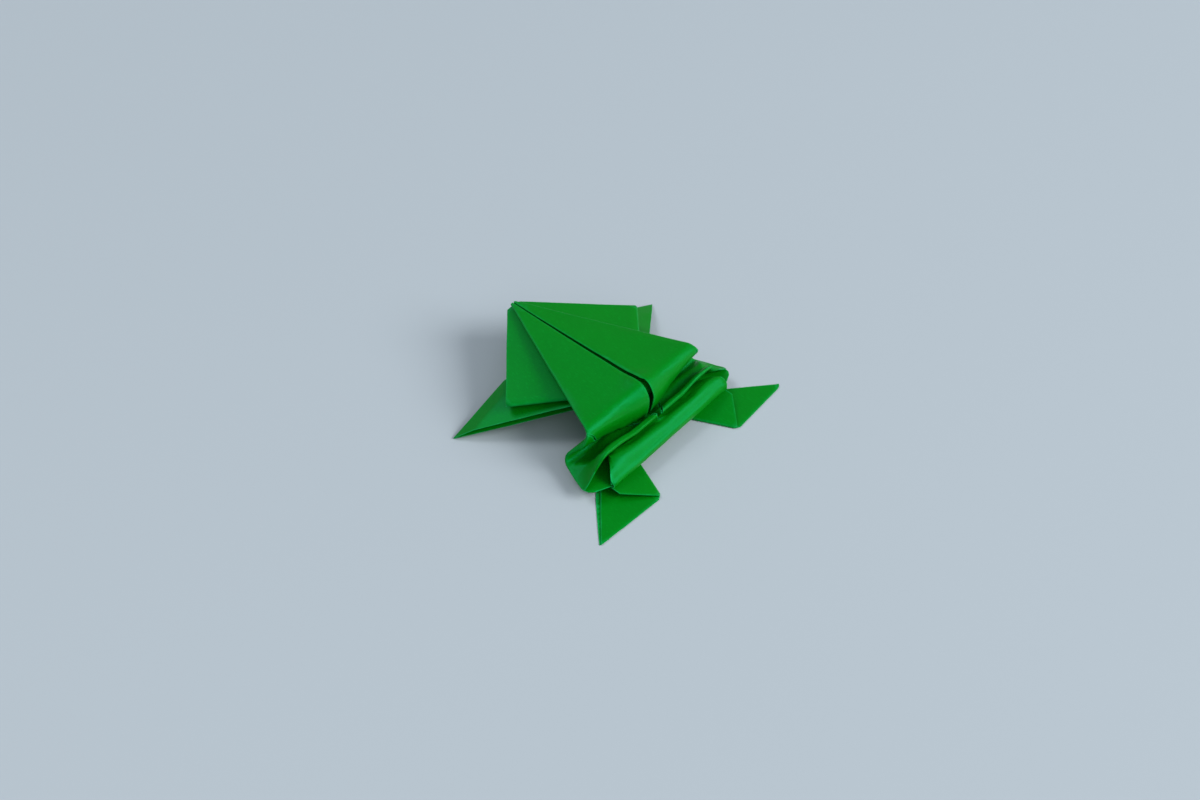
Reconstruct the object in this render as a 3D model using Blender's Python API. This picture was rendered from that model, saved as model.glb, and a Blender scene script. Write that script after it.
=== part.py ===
"""A jumping frog folded from one strip of green paper.

The strip is folded flat first, ply by ply, as the folder does it: a waterbomb base at each end, two kite
panels on the back, a flap and a leg at each corner, and the tail tip over the back and under the panels.
The flat stack is then pleated across the back and stands on its four feet.

Flat frame: x to the frog's left, y from nose to tail. Metres, +Z up, the nose towards -Y.
"""

import math

import bpy
import numpy as np

# The strip of paper
HALF_WIDTH = 0.0375
PAPER = 0.00011
PLY_PITCH = 0.00017
EDGE_SHORTFALL = 0.00015
CREASE_CLEARANCE = 0.00006
LONGEST_MITRE = 1.5
WALL_SQUEEZE = 0.45

FRONT, REAR = 1, -1
RIGHT, LEFT = -1, 1

# Creases of the flat model. Each leg's crease is given by its angle from the flap's crease.
KITE_ANGLE = math.radians(22.8)
FRONT_LEG_ANGLE = {RIGHT: math.radians(19.7), LEFT: math.radians(21.2)}
REAR_LEG_ANGLE = {RIGHT: math.radians(21.0), LEFT: math.radians(20.5)}

# The pleat across the back, measured from the nose along the back
RIDGE_FOLD = 0.0375
VALLEY_FOLD = 0.0452
RIDGE_RADIUS = 0.0018
VALLEY_RADIUS = 0.00135
RIDGE_TURN = math.radians(-129.9)
TAIL_HEIGHT = 0.0028

# How the halves lie: the front's slope, its lean to the left, and the rear's turn. The rear is level.
FRONT_PITCH = math.radians(0.1)
FRONT_LEAN = math.radians(1.55)
REAR_TURN = math.radians(3.1)

# How far the folded paper springs open
PANEL_SPRING = 0.0011
PANEL_LIFT = 0.0030
PANEL_LIFT_RUN = 0.0052
PANEL_SPLAY = 0.12
TIP_SPRING = 0.78
TIP_SPLAY = 0.10
TIP_ROUNDING = 0.45
TUCK_RUN = 0.0040

# Front: how far each side corner of the square sags, and how far each flap swings down from the belly.
# Each front toe then settles on the table.
CORNER_SAG = {RIGHT: 0.0023, LEFT: 0.0033}
FRONT_FLAP_SWING = {RIGHT: math.radians(16.0), LEFT: math.radians(13.8)}
SWING_RUN = 0.0055

# The two plies of each front leg stand this far apart along their cut edges
LEG_OPENING = {RIGHT: 0.0003, LEFT: 0.0011}
LEG_OPENING_RUN = 0.0030
LEG_OPENING_ONSET = 0.0050

# Mesh fineness, and the shares of a run at which lifted paper gets a row of points
BEND_STEPS = 3
TURN_STEPS = 6
SWING_ROWS = (0.25, 0.5, 0.75, 1.0)
LIFT_ROWS = (0.5, 1.0)
LIFT_SHARES = (0.65, 1.0)
TIP_ROWS = (0.5, 0.8, 1.0)

GREEN = (0.012, 0.33, 0.050, 1.0)
ROUGHNESS = 0.62

BODY, FLAP, LEG = 0, 1, 2
RAW, CAP = "raw", "cap"
SAME = 1e-7

# Ply numbers count up from the table
PLY = {
    "leg_belly": 0,
    "leg_lower": 1,
    "flap_lower": 2,
    "flap_belly": 3,
    "belly": 4,
    "lower": 5,
    "upper": 6,
    "back": 7,
    "tip_back": 8,
    "tip_upper": 9,
    "tip_lower": 10,
    "tip_belly": 11,
    "panel_back": 12,
    "panel_upper": 13,
}
TUCKED_PLIES = 4
NEUTRAL_PLY = 6.5


class Facet:
    """A flat, uncreased piece of the strip. Each corner is (strip u, strip v, flat x, flat y)."""

    def __init__(self, name, corners, ply, region, side=0, end=0):
        self.name = name
        self.corners = [np.array(c, float) for c in corners]
        self.ply = ply
        self.region = region
        self.side = side
        self.end = end
        self.labels = [RAW] * len(self.corners)
        if area(self.corners) < 0:
            self.corners.reverse()

    def copy(self, name, corners, ply=None, region=None):
        """A facet cut from this one."""
        return Facet(
            name,
            corners,
            self.ply if ply is None else ply,
            self.region if region is None else region,
            self.side,
            self.end,
        )


def area(corners):
    """Signed area on the strip."""
    total = 0.0
    for p, q in zip(corners, corners[1:] + corners[:1]):
        total += (p[0] * q[1] - q[0] * p[1]) / 2
    return total


def split(corners, distance):
    """Cuts a convex outline where distance changes sign, and returns the parts above and below."""
    above, below = [], []
    values = [distance(c) for c in corners]
    values = [0.0 if abs(v) < SAME else v for v in values]
    for i, (p, d) in enumerate(zip(corners, values)):
        q, e = corners[(i + 1) % len(corners)], values[(i + 1) % len(corners)]
        if d >= 0:
            above.append(p)
        if d <= 0:
            below.append(p)
        if d * e < 0:
            cut = p + (q - p) * d / (d - e)
            above.append(cut)
            below.append(cut)
    keep = lambda part, most: part if len(part) > 2 and most > 0 else []
    return keep(above, max(values)), keep(below, -min(values))


def trim_to_strip(corners):
    """The cut edges of a real strip fall a little short of the squared pattern."""
    half = HALF_WIDTH - EDGE_SHORTFALL
    length = 4 * HALF_WIDTH - EDGE_SHORTFALL
    for test in (
        lambda c: half - c[0],
        lambda c: half + c[0],
        lambda c: c[1] - EDGE_SHORTFALL,
        lambda c: length - c[1],
    ):
        corners, _ = split(corners, test)
    return corners


def waterbomb_base():
    """The strip with both ends collapsed: ten flat facets around the two apexes."""
    a = HALF_WIDTH
    back = [(0, a, 0, 0), (a, 2 * a, a, a), (0, 3 * a, 0, 2 * a), (-a, 2 * a, -a, a)]
    facets = [("back", back, PLY["back"], BODY, 0, 0)]
    for end in (FRONT, REAR):

        def place(u, w, x, y, side=1):
            """Strip and flat places of a point given from this end's apex."""
            v = a + w if end == FRONT else 3 * a - w
            return (side * u, v, side * x, y if end == FRONT else 2 * a - y)

        belly = [place(0, 0, 0, 0), place(a, -a, a, a), place(-a, -a, -a, a)]
        facets.append(("belly", belly, PLY["belly"], BODY, 0, end))
        for side in (RIGHT, LEFT):
            upper = [place(0, 0, 0, 0, side), place(a, 0, 0, a, side), place(a, a, a, a, side)]
            lower = [place(0, 0, 0, 0, side), place(a, 0, 0, a, side), place(a, -a, a, a, side)]
            facets.append(("upper", upper, PLY["upper"], BODY, side, end))
            facets.append(("lower", lower, PLY["lower"], BODY, side, end))
    trimmed = []
    for name, corners, ply, region, side, end in facets:
        corners = trim_to_strip([np.array(c, float) for c in corners])
        trimmed.append(Facet(name, corners, ply, region, side, end))
    return trimmed


def reflect(corner, point, direction):
    """Folds a corner over a line of the flat model."""
    offset = corner[2:] - point
    along = direction * offset.dot(direction)
    flipped = corner.copy()
    flipped[2:] = point + 2 * along - offset
    return flipped


def fold(facets, chosen, point, direction, renamed):
    """Folds the chosen facets over a line: what lies to the line's left is reflected and renamed."""
    point = np.array(point, float)
    direction = np.array(direction, float) / math.hypot(*direction)
    normal = np.array([-direction[1], direction[0]])
    result = []
    for facet in facets:
        if not chosen(facet):
            result.append(facet)
            continue
        moved, kept = split(facet.corners, lambda c: (c[2:] - point).dot(normal))
        if kept:
            result.append(facet.copy(facet.name, kept))
        if moved:
            name, region = renamed(facet)
            corners = [reflect(c, point, direction) for c in moved]
            piece = facet.copy(name, corners, PLY[name], region)
            middle = sum(corners) / len(corners)
            if not piece.side and abs(middle[2]) > SAME:
                piece.side = int(math.copysign(1, middle[2]))
            result.append(piece)
    return result


def fold_kite(facets, side):
    """Folds one side corner of the back, two plies of it, to the centre line."""
    direction = (side * math.sin(KITE_ANGLE), math.cos(KITE_ANGLE))
    if side > 0:
        direction = (-direction[0], -direction[1])
    names = {"back": "panel_back", "upper": "panel_upper"}
    chosen = lambda f: f.name in names and f.side in (0, side)
    return fold(facets, chosen, (0, 0), direction, lambda f: (names[f.name], BODY))


def leg_crease(side, end):
    """A leg's crease, as its angle from the middle line of the model."""
    angles = FRONT_LEG_ANGLE if end == FRONT else REAR_LEG_ANGLE
    return math.radians(45) - angles[side]


def fold_leg(facets, side, end):
    """Folds one belly flap to the tip of the body, then its point out sideways as a leg."""
    a = HALF_WIDTH
    turn = side * end
    middle = np.array([0, a])
    across = np.array([side, -end], float)
    flaps = {"belly": "flap_belly", "lower": "flap_lower"}
    outer = lambda f: f.name in flaps and f.end == end and f.side in (0, side)
    first = across if turn > 0 else -across
    facets = fold(facets, outer, middle, first, lambda f: (flaps[f.name], FLAP))
    legs = {"flap_belly": "leg_belly", "flap_lower": "leg_lower"}
    inner = lambda f: f.name in legs and f.end == end and f.side == side
    angle = leg_crease(side, end)
    second = np.array([side * math.sin(angle), -end * math.cos(angle)])
    second = -second if turn > 0 else second
    return fold(facets, inner, middle, second, lambda f: (legs[f.name], LEG))


def fold_tip(facets):
    """Folds the tail tip up over the back as far as the middle of the model."""
    tips = {"back": "tip_back", "upper": "tip_upper", "lower": "tip_lower", "belly": "tip_belly"}
    chosen = lambda f: f.name in tips and f.end in (0, REAR)
    line = (0, 1.5 * HALF_WIDTH)
    return fold(facets, chosen, line, (1, 0), lambda f: (tips[f.name], BODY))


def folded_flat():
    """The finished flat model, one facet for each uncreased area."""
    facets = waterbomb_base()
    for side in (RIGHT, LEFT):
        facets = fold_kite(facets, side)
        for end in (FRONT, REAR):
            facets = fold_leg(facets, side, end)
    return fold_tip(facets)


class Crease:
    """A fold shared by two facets, with the line that it follows on the flat model."""

    def __init__(self, first, second, start, finish):
        self.facets = (first, second)
        self.start = start
        self.plies = sorted((first.ply, second.ply))
        along = finish[2:] - start[2:]
        self.length = float(np.linalg.norm(along))
        self.along = along / self.length
        inward = np.array([-self.along[1], self.along[0]])
        middle = sum(first.corners) / len(first.corners)
        self.inward = inward if (middle[2:] - start[2:]).dot(inward) > 0 else -inward
        self.depth = 0.0
        self.inset = 0.0

    def far(self, point):
        """Distance of a flat point from the fold line, towards the paper."""
        return float((point - self.start[2:]).dot(self.inward))

    def beside(self, other):
        """True where the other crease lies on the same line and shares some of its length."""
        ends = [other.start[2:], other.start[2:] + other.along * other.length]
        if any(abs(self.far(e)) > 1e-5 for e in ends) or self.inward.dot(other.inward) < 0.99:
            return False
        marks = sorted(float((e - self.start[2:]).dot(self.along)) for e in ends)
        return marks[0] < self.length - 1e-5 and marks[1] > 1e-5


def key(corner):
    """A corner's place on the strip, to a micrometre."""
    return (round(corner[0] * 1e6), round(corner[1] * 1e6))


def find_creases(facets):
    """Pairs up the facets' edges on the strip, and labels each edge with its crease."""
    edges = {}
    creases = []
    for facet in facets:
        count = len(facet.corners)
        for i in range(count):
            p, q = facet.corners[i], facet.corners[(i + 1) % count]
            name = frozenset((key(p), key(q)))
            if name in edges:
                other, j = edges[name]
                crease = Crease(other, facet, p, q)
                facet.labels[i] = crease
                other.labels[j] = crease
                creases.append(crease)
            else:
                edges[name] = (facet, i)
    for crease in creases:
        nested = 0
        for other in creases:
            inside = crease.plies[0] < other.plies[0] and other.plies[1] < crease.plies[1]
            nested += inside and crease.beside(other)
        levels = {o.plies[0] for o in creases if crease.beside(o) and crease.plies[0] < o.plies[0]}
        levels = {p for p in levels if p < crease.plies[1]}
        rank = sum(1 for p in levels if any(
            o.plies[0] == p and o.plies[1] < crease.plies[1] and crease.beside(o) for o in creases
        ))
        crease.depth = (min(nested, rank) + 0.5) * PLY_PITCH
    for crease in creases:
        alike = [c.depth for c in creases if crease.beside(c)] + [crease.depth]
        crease.inset = max(alike) + PAPER / 2 + CREASE_CLEARANCE
    return creases


class Node:
    """A point where creases meet inside the strip. The paper there is closed by a small blunt wall."""

    def __init__(self, place, corner):
        self.place = place
        self.corner = corner
        self.facets = []
        self.outward = None
        self.reach = 0.0

    def near(self, point):
        """Distance of a flat point from the wall, towards the paper."""
        return float((point - self.corner[2:]).dot(self.outward)) - self.reach


def find_nodes(facets):
    """The interior corners, each with its facets in order around it on the strip."""
    around = {}
    for facet in facets:
        for i, corner in enumerate(facet.corners):
            around.setdefault(key(corner), []).append((facet, i))
    nodes = {}
    for place, members in around.items():
        sides = []
        for facet, i in members:
            sides.append(facet.labels[i])
            sides.append(facet.labels[i - 1])
        if RAW in sides or len(members) < 3:
            continue
        node = Node(place, members[0][0].corners[members[0][1]])
        origin = node.corner[:2]
        order = []
        for facet, i in members:
            middle = sum(c[:2] for c in facet.corners) / len(facet.corners) - origin
            order.append((math.atan2(middle[1], middle[0]), len(order), facet, i))
        order.sort()
        node.facets = [(facet, i) for _, _, facet, i in order]
        towards = []
        for facet, i in node.facets:
            edge = facet.corners[(i + 1) % len(facet.corners)][2:] - facet.corners[i][2:]
            towards.append(edge / np.linalg.norm(edge))
        guess = sum(towards)
        guess = guess / np.linalg.norm(guess)
        turned = np.array([-guess[1], guess[0]])
        angles = [math.atan2(t.dot(turned), t.dot(guess)) for t in towards]
        middle = (min(angles) + max(angles)) / 2
        node.outward = guess * math.cos(middle) + turned * math.sin(middle)
        node.reach = wall_reach(node)
        nodes[place] = node
    return nodes


def wall_reach(node):
    """How far from the corner the wall stands, so that every ply still has some width there."""
    turned = np.array([-node.outward[1], node.outward[0]])
    reach = 0.0
    for facet, i in node.facets:
        sides = []
        for step, label in ((1, facet.labels[i]), (-1, facet.labels[i - 1])):
            edge = facet.corners[(i + step) % len(facet.corners)][2:] - facet.corners[i][2:]
            angle = math.atan2(edge.dot(turned), edge.dot(node.outward))
            sides.append((angle, label.inset / math.cos(angle)))
        sides.sort(key=lambda s: s[0])
        spread = math.tan(sides[1][0]) - math.tan(sides[0][0])
        reach = max(reach, (PAPER * 1.6 + sides[0][1] + sides[1][1]) / spread)
    return reach


def shrink(facet, nodes):
    """The uncreased area of a facet: its outline less the bends along its creases and the walls."""
    points = [(c, label) for c, label in zip(facet.corners, facet.labels)]
    cuts = [(lambda c, e=e: e.far(c[2:]) - e.inset, e) for e in facet.labels if e is not RAW]
    for corner in facet.corners:
        node = nodes.get(key(corner))
        if node:
            cuts.append((lambda c, n=node: n.near(c[2:]), node))
    for distance, label in cuts:
        result = []
        count = len(points)
        for i in range(count):
            p, name = points[i]
            q, _ = points[(i + 1) % count]
            d, e = distance(p), distance(q)
            if d >= 0:
                result.append((p, name))
                if e < 0:
                    result.append((p + (q - p) * d / (d - e), label))
            elif e >= 0:
                result.append((p + (q - p) * d / (d - e), name))
        points = result
    return points


def edge_with(points, label):
    """The ends of the edge that carries a label, and what bounds the outline before and after it."""
    count = len(points)
    for i in range(count):
        if points[i][1] is label:
            before, after = points[i - 1][1], points[(i + 1) % count][1]
            return points[i][0], points[(i + 1) % count][0], before, after
    return None


def blank(corner, ply):
    """A surface point: strip u, v, flat x, y, two plies, its share of the second, and height off them."""
    return np.concatenate([corner, [ply, ply, 0.0, 0.0]])


def bend_rows(crease, outlines):
    """Rows of points around a fold, from the first facet to the second."""
    first, second = crease.facets
    f0, f1, f_before, f_after = edge_with(outlines[first], crease)
    g0, g1, _, _ = edge_with(outlines[second], crease)
    rows = []
    for step in range(BEND_STEPS + 1):
        part = step / BEND_STEPS
        bulge = crease.depth * math.sin(math.pi * part)
        share = 0.0 if part < 0.5 else 1.0
        rise = crease.depth * (1 - abs(math.cos(math.pi * part))) * (1 - 2 * share)
        rise = math.copysign(rise, (second.ply - first.ply) * rise)
        row = []
        for p, q, wall in ((f0, g1, f_before), (f1, g0, f_after)):
            point = p + (q - p) * part
            offset = crease.far(point[2:]) - crease.inset + bulge
            point[2:] -= crease.inward * offset
            if isinstance(wall, Node):
                slope = crease.along.dot(wall.outward)
                point[2:] -= crease.along * wall.near(point[2:]) / slope
            row.append(np.concatenate([point, [first.ply, second.ply, share, rise]]))
        rows.append(row)
    return rows


def build_surface(facets):
    """Every face of the folded strip's middle surface, as lists of surface points."""
    creases = find_creases(facets)
    nodes = find_nodes(facets)
    outlines = {facet: shrink(facet, nodes) for facet in facets}
    faces = []
    for facet in facets:
        corners = [blank(p, facet.ply) for p, _ in outlines[facet]]
        faces.append(("facet", facet, corners))
    bends = {}
    for crease in creases:
        if edge_with(outlines[crease.facets[0]], crease) is None:
            continue
        rows = bend_rows(crease, outlines)
        bends[crease] = rows
        for low, high in zip(rows, rows[1:]):
            faces.append(("bend", crease, [low[1], low[0], high[0], high[1]]))
    for node in nodes.values():
        loop = []
        for facet, _ in node.facets:
            c0, c1, before, after = edge_with(outlines[facet], node)
            loop.append(blank(c1, facet.ply))
            loop.append(blank(c0, facet.ply))
            rows = bends[before]
            if before.facets[0] is facet:
                inner = [row[1] for row in rows[1:-1]]
            else:
                inner = [row[0] for row in reversed(rows[1:-1])]
            loop.extend(inner)
        faces.append(("wall", node, loop))
    return faces


def cut_faces(faces, distance, chosen):
    """Cuts the chosen faces along a line of the flat model, so that they can bend there."""
    result = []
    for kind, owner, points in faces:
        if kind == "wall" or not chosen(points):
            result.append((kind, owner, points))
            continue
        for part in split(points, distance):
            if part:
                result.append((kind, owner, part))
    return result


def kite_end():
    """Where the kite crease meets the tail side of the back, as x outward and y."""
    y = 2 * HALF_WIDTH / (1 + math.tan(KITE_ANGLE))
    return y * math.tan(KITE_ANGLE), y


def from_kite(x, y):
    """Distance from the kite crease towards the middle of the back, with x outward."""
    return y * math.sin(KITE_ANGLE) - x * math.cos(KITE_ANGLE)


def lift_across(x, y):
    """0 at the bend along the kite crease, 1 where the panels are lifted in full, with x outward."""
    return (from_kite(x, y) - KITE_BEND) / PANEL_LIFT_RUN


def spring_slope(x, y):
    """The panels' rise in front, growing from the kite crease to the middle line, with x outward."""
    return PANEL_SPRING * (from_kite(x, y) - KITE_BEND) / (RIDGE_FOLD * math.sin(KITE_ANGLE))


def spring_fade(y):
    """The most that the panels may rise behind the ridge, down to nothing at the valley's bend."""
    _, ridge_end, valley_start, _ = bend_ends()
    return PANEL_SPRING * (valley_start - y) / (valley_start - ridge_end)


def from_tip(x, y):
    """Distance outside the folded tail tip, less than 0 within it, with x outward."""
    return (x - (y - HALF_WIDTH)) / math.sqrt(2)


def lift_along(y):
    """0 where the panels start to lift behind the pleat, 1 at their loose rear edge."""
    return (y - LIFT_START) / (PANEL_EDGE - LIFT_START)


VALLEY_TURN = -RIDGE_TURN - FRONT_PITCH
PLEATS = ((RIDGE_FOLD, RIDGE_TURN, RIDGE_RADIUS), (VALLEY_FOLD, VALLEY_TURN, VALLEY_RADIUS))
LIFT_START = VALLEY_FOLD + abs(VALLEY_TURN) * VALLEY_RADIUS / 2
PANEL_EDGE = kite_end()[1] - 5 * PLY_PITCH
KITE_BEND = 1.5 * PLY_PITCH + PAPER / 2 + CREASE_CLEARANCE
TIP_EDGE = 1.5 * HALF_WIDTH - 4 * PLY_PITCH - PAPER / 2 - CREASE_CLEARANCE


def cut_for_bending(faces):
    """Adds the rows of points that the pleat and the lifted panels need."""
    rows = []
    for start, turn, radius in PLEATS:
        half = abs(turn) * radius / 2
        rows += [start - half + 2 * half * i / TURN_STEPS for i in range(TURN_STEPS + 1)]
    rows += [LIFT_START + (PANEL_EDGE - LIFT_START) * run for run in LIFT_ROWS]
    rows += [PANEL_EDGE + (TIP_EDGE - PANEL_EDGE) * part for part in TIP_ROWS]
    for row in rows:
        faces = cut_faces(faces, lambda p, r=row: p[3] - r, lambda points: True)
    top = lambda points: max(max(p[4], p[5]) for p in points)
    behind = lambda points: top(points) > PLY["back"] and min(p[3] for p in points) > LIFT_START - SAME
    panels = lambda points: top(points) >= PLY["panel_back"]
    faces = cut_faces(faces, lambda p: p[2], lambda points: True)
    flaps = lambda points: top(points) <= PLY["lower"] and min(p[3] for p in points) < bend_ends()[0]
    for run in SWING_ROWS:
        faces = cut_faces(faces, lambda p, r=run: p[3] - bend_ends()[0] + r * SWING_RUN, flaps)
    legs = lambda points: top(points) <= PLY["leg_lower"] and min(p[3] for p in points) < bend_ends()[0]
    for side in (RIGHT, LEFT):
        here = lambda points, s=side: legs(points) and s * sum(p[2] for p in points) > 0
        ramps = lambda p, s=side: leg_ramps(s, s * p[2], p[3])
        for i in range(3):
            faces = cut_faces(faces, lambda p, k=i: ramps(p)[k], here)
            faces = cut_faces(faces, lambda p, k=i: ramps(p)[k] - 1, here)
            faces = cut_faces(faces, lambda p, k=i: ramps(p)[k] - ramps(p)[k - 1], here)
    for side in (RIGHT, LEFT):
        for run in (0.0,) + LIFT_ROWS:
            line = lambda p, r=run, s=side: lift_across(s * p[2], p[3]) - r
            faces = cut_faces(faces, line, behind)
        line = lambda p, s=side: lift_across(s * p[2], p[3]) - lift_along(p[3])
        faces = cut_faces(faces, line, behind)
        for run in (0.0, TUCK_RUN):
            line = lambda p, r=run, s=side: from_tip(s * p[2], p[3]) - r
            faces = cut_faces(faces, line, panels)
        line = lambda p, s=side: spring_slope(s * p[2], p[3]) - spring_fade(p[3])
        faces = cut_faces(faces, line, panels)
    return faces


class Mesh:
    """The middle surface with shared points, found again by their place on the strip."""

    def __init__(self, faces):
        self.points = []
        self.index = {}
        self.faces = []
        self.walls = []
        for kind, _, points in faces:
            ring = [self.find(p) for p in points]
            ring = [v for i, v in enumerate(ring) if v != ring[i - 1]]
            if len(ring) > 2:
                self.faces.append(ring)
                self.walls.append(kind == "wall")
        self.points = np.array(self.points)
        self.close_seams()

    def find(self, point):
        """The number of a point, new or known."""
        u, v = round(point[0] * 1e7), round(point[1] * 1e7)
        for du in (0, -1, 1):
            for dv in (0, -1, 1):
                known = self.index.get((u + du, v + dv))
                if known is not None:
                    return known
        self.index[(u, v)] = len(self.points)
        self.points.append(point)
        return len(self.points) - 1

    def close_seams(self):
        """Adds to each face the points of its neighbours that lie on its edges."""
        place = self.points[:, :2]
        edges = {(r[i - 1], r[i]) for r in self.faces for i in range(len(r))}
        for ring in self.faces:
            grown = []
            for i, p in enumerate(ring):
                q = ring[(i + 1) % len(ring)]
                grown.append(p)
                if (q, p) in edges:
                    continue
                span = place[q] - place[p]
                length = float(np.linalg.norm(span))
                along = (place - place[p]) @ span / length
                off = np.abs((place - place[p]) @ np.array([-span[1], span[0]])) / length
                found = np.nonzero((off < 3e-7) & (along > 5e-7) & (along < length - 5e-7))[0]
                grown.extend(sorted(found.tolist(), key=lambda v: along[v]))
            ring[:] = grown


def run_along(profile, s, n):
    """Carries points at a distance s along a bent line, and n above it, into the plane of the bend."""
    s, n = np.asarray(s, float), np.asarray(n, float)
    forward, height = np.zeros_like(s), np.zeros_like(s)
    heading = np.full_like(s, profile["heading"])
    left = s.copy()
    for length, turn in profile["steps"]:
        step = np.minimum(left, length)
        step = np.where(left > 0, step, 0.0) if length is not math.inf else np.maximum(left, 0.0)
        if turn:
            angle = turn * step / length
            radius = length / turn
            forward += radius * (np.sin(heading + angle) - np.sin(heading))
            height += radius * (np.cos(heading) - np.cos(heading + angle))
            heading = heading + angle
        else:
            forward += step * np.cos(heading)
            height += step * np.sin(heading)
        left = left - step
    return forward - n * np.sin(heading), height + n * np.cos(heading), heading


def bend_ends():
    """Where the two bends of the pleat start and end, along the back."""
    return [start + end * abs(turn) * radius / 2 for start, turn, radius in PLEATS for end in (-1, 1)]


def pleat_profile():
    """The back as a bent line from the nose: level, over the ridge fold, down, and back under it."""
    steps = []
    reached = 0.0
    for start, turn, radius in PLEATS:
        length = abs(turn) * radius
        steps.append((start - length / 2 - reached, 0.0))
        steps.append((length, turn))
        reached = start + length / 2
    steps.append((math.inf, 0.0))
    return {"heading": FRONT_PITCH, "steps": steps}


def panel_rise(x, y):
    """How far the loose rear edge of the panels is lifted by the tail tip under it."""
    runs = np.minimum(lift_along(y), lift_across(np.abs(x), y))
    return PANEL_LIFT * np.interp(runs, (0.0,) + LIFT_ROWS, (0.0,) + LIFT_SHARES)


def tip_rise(x, y):
    """How far the folded tail tip springs up, round at its fold and under the panels in front."""
    past = np.clip((y - PANEL_EDGE) / (TIP_EDGE - PANEL_EDGE), 0.0, 1.0)
    rows = (0.0,) + TIP_ROWS
    heights = [TIP_ROUNDING + (1 - TIP_ROUNDING) * math.sqrt(1 - row * row) for row in rows]
    return panel_rise(x, y) * np.interp(past, rows, heights)


def leg_ramps(side, x, y):
    """How far a point of a front leg is from the leg's closed edge, its crease and the pleat, with x
    outward. The leg's plies open in full where each of the three is 1 or more."""
    crease = leg_crease(side, FRONT)
    across = HALF_WIDTH - y
    from_crease = x * math.cos(crease) - across * math.sin(crease)
    turned = 2 * crease - math.radians(45)
    edge = HALF_WIDTH / math.sqrt(2)
    from_edge = edge - (x * math.sin(turned) + across * math.cos(turned)) - PLY_PITCH / 2
    from_pleat = bend_ends()[0] - SWING_RUN / 2 - y
    return (
        (from_edge - PAPER / 2 - CREASE_CLEARANCE) / LEG_OPENING_RUN,
        (from_crease - 2 * PLY_PITCH - PAPER / 2 - CREASE_CLEARANCE) / LEG_OPENING_ONSET,
        from_pleat / LEG_OPENING_ONSET,
    )


def leg_rise(x, y):
    """How far the upper ply of a front leg stands off the lower one."""
    rise = np.zeros_like(x)
    for side in (RIGHT, LEFT):
        here = (side * x > 0) & (y < HALF_WIDTH)
        ramps = np.minimum.reduce(leg_ramps(side, np.abs(x), y))
        rise += np.where(here, LEG_OPENING[side] * np.clip(ramps, 0.0, 1.0), 0.0)
    return rise


def tucked(x, y):
    """1 where the tail tip lies under the panels, 0 away from it."""
    return np.clip(1 - from_tip(np.abs(x), y) / TUCK_RUN, 0.0, 1.0)


def turn_about(points, pivot, axis, angles):
    """Rotates each point about an axis by its own angle, counter-clockwise seen against the axis."""
    axis = axis / np.linalg.norm(axis)
    offset = points - pivot
    cosine, sine = np.cos(angles)[:, None], np.sin(angles)[:, None]
    across = np.cross(np.broadcast_to(axis, offset.shape), offset)
    along = (offset @ axis)[:, None] * axis
    return pivot + along + (offset - along) * cosine + across * sine


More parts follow.
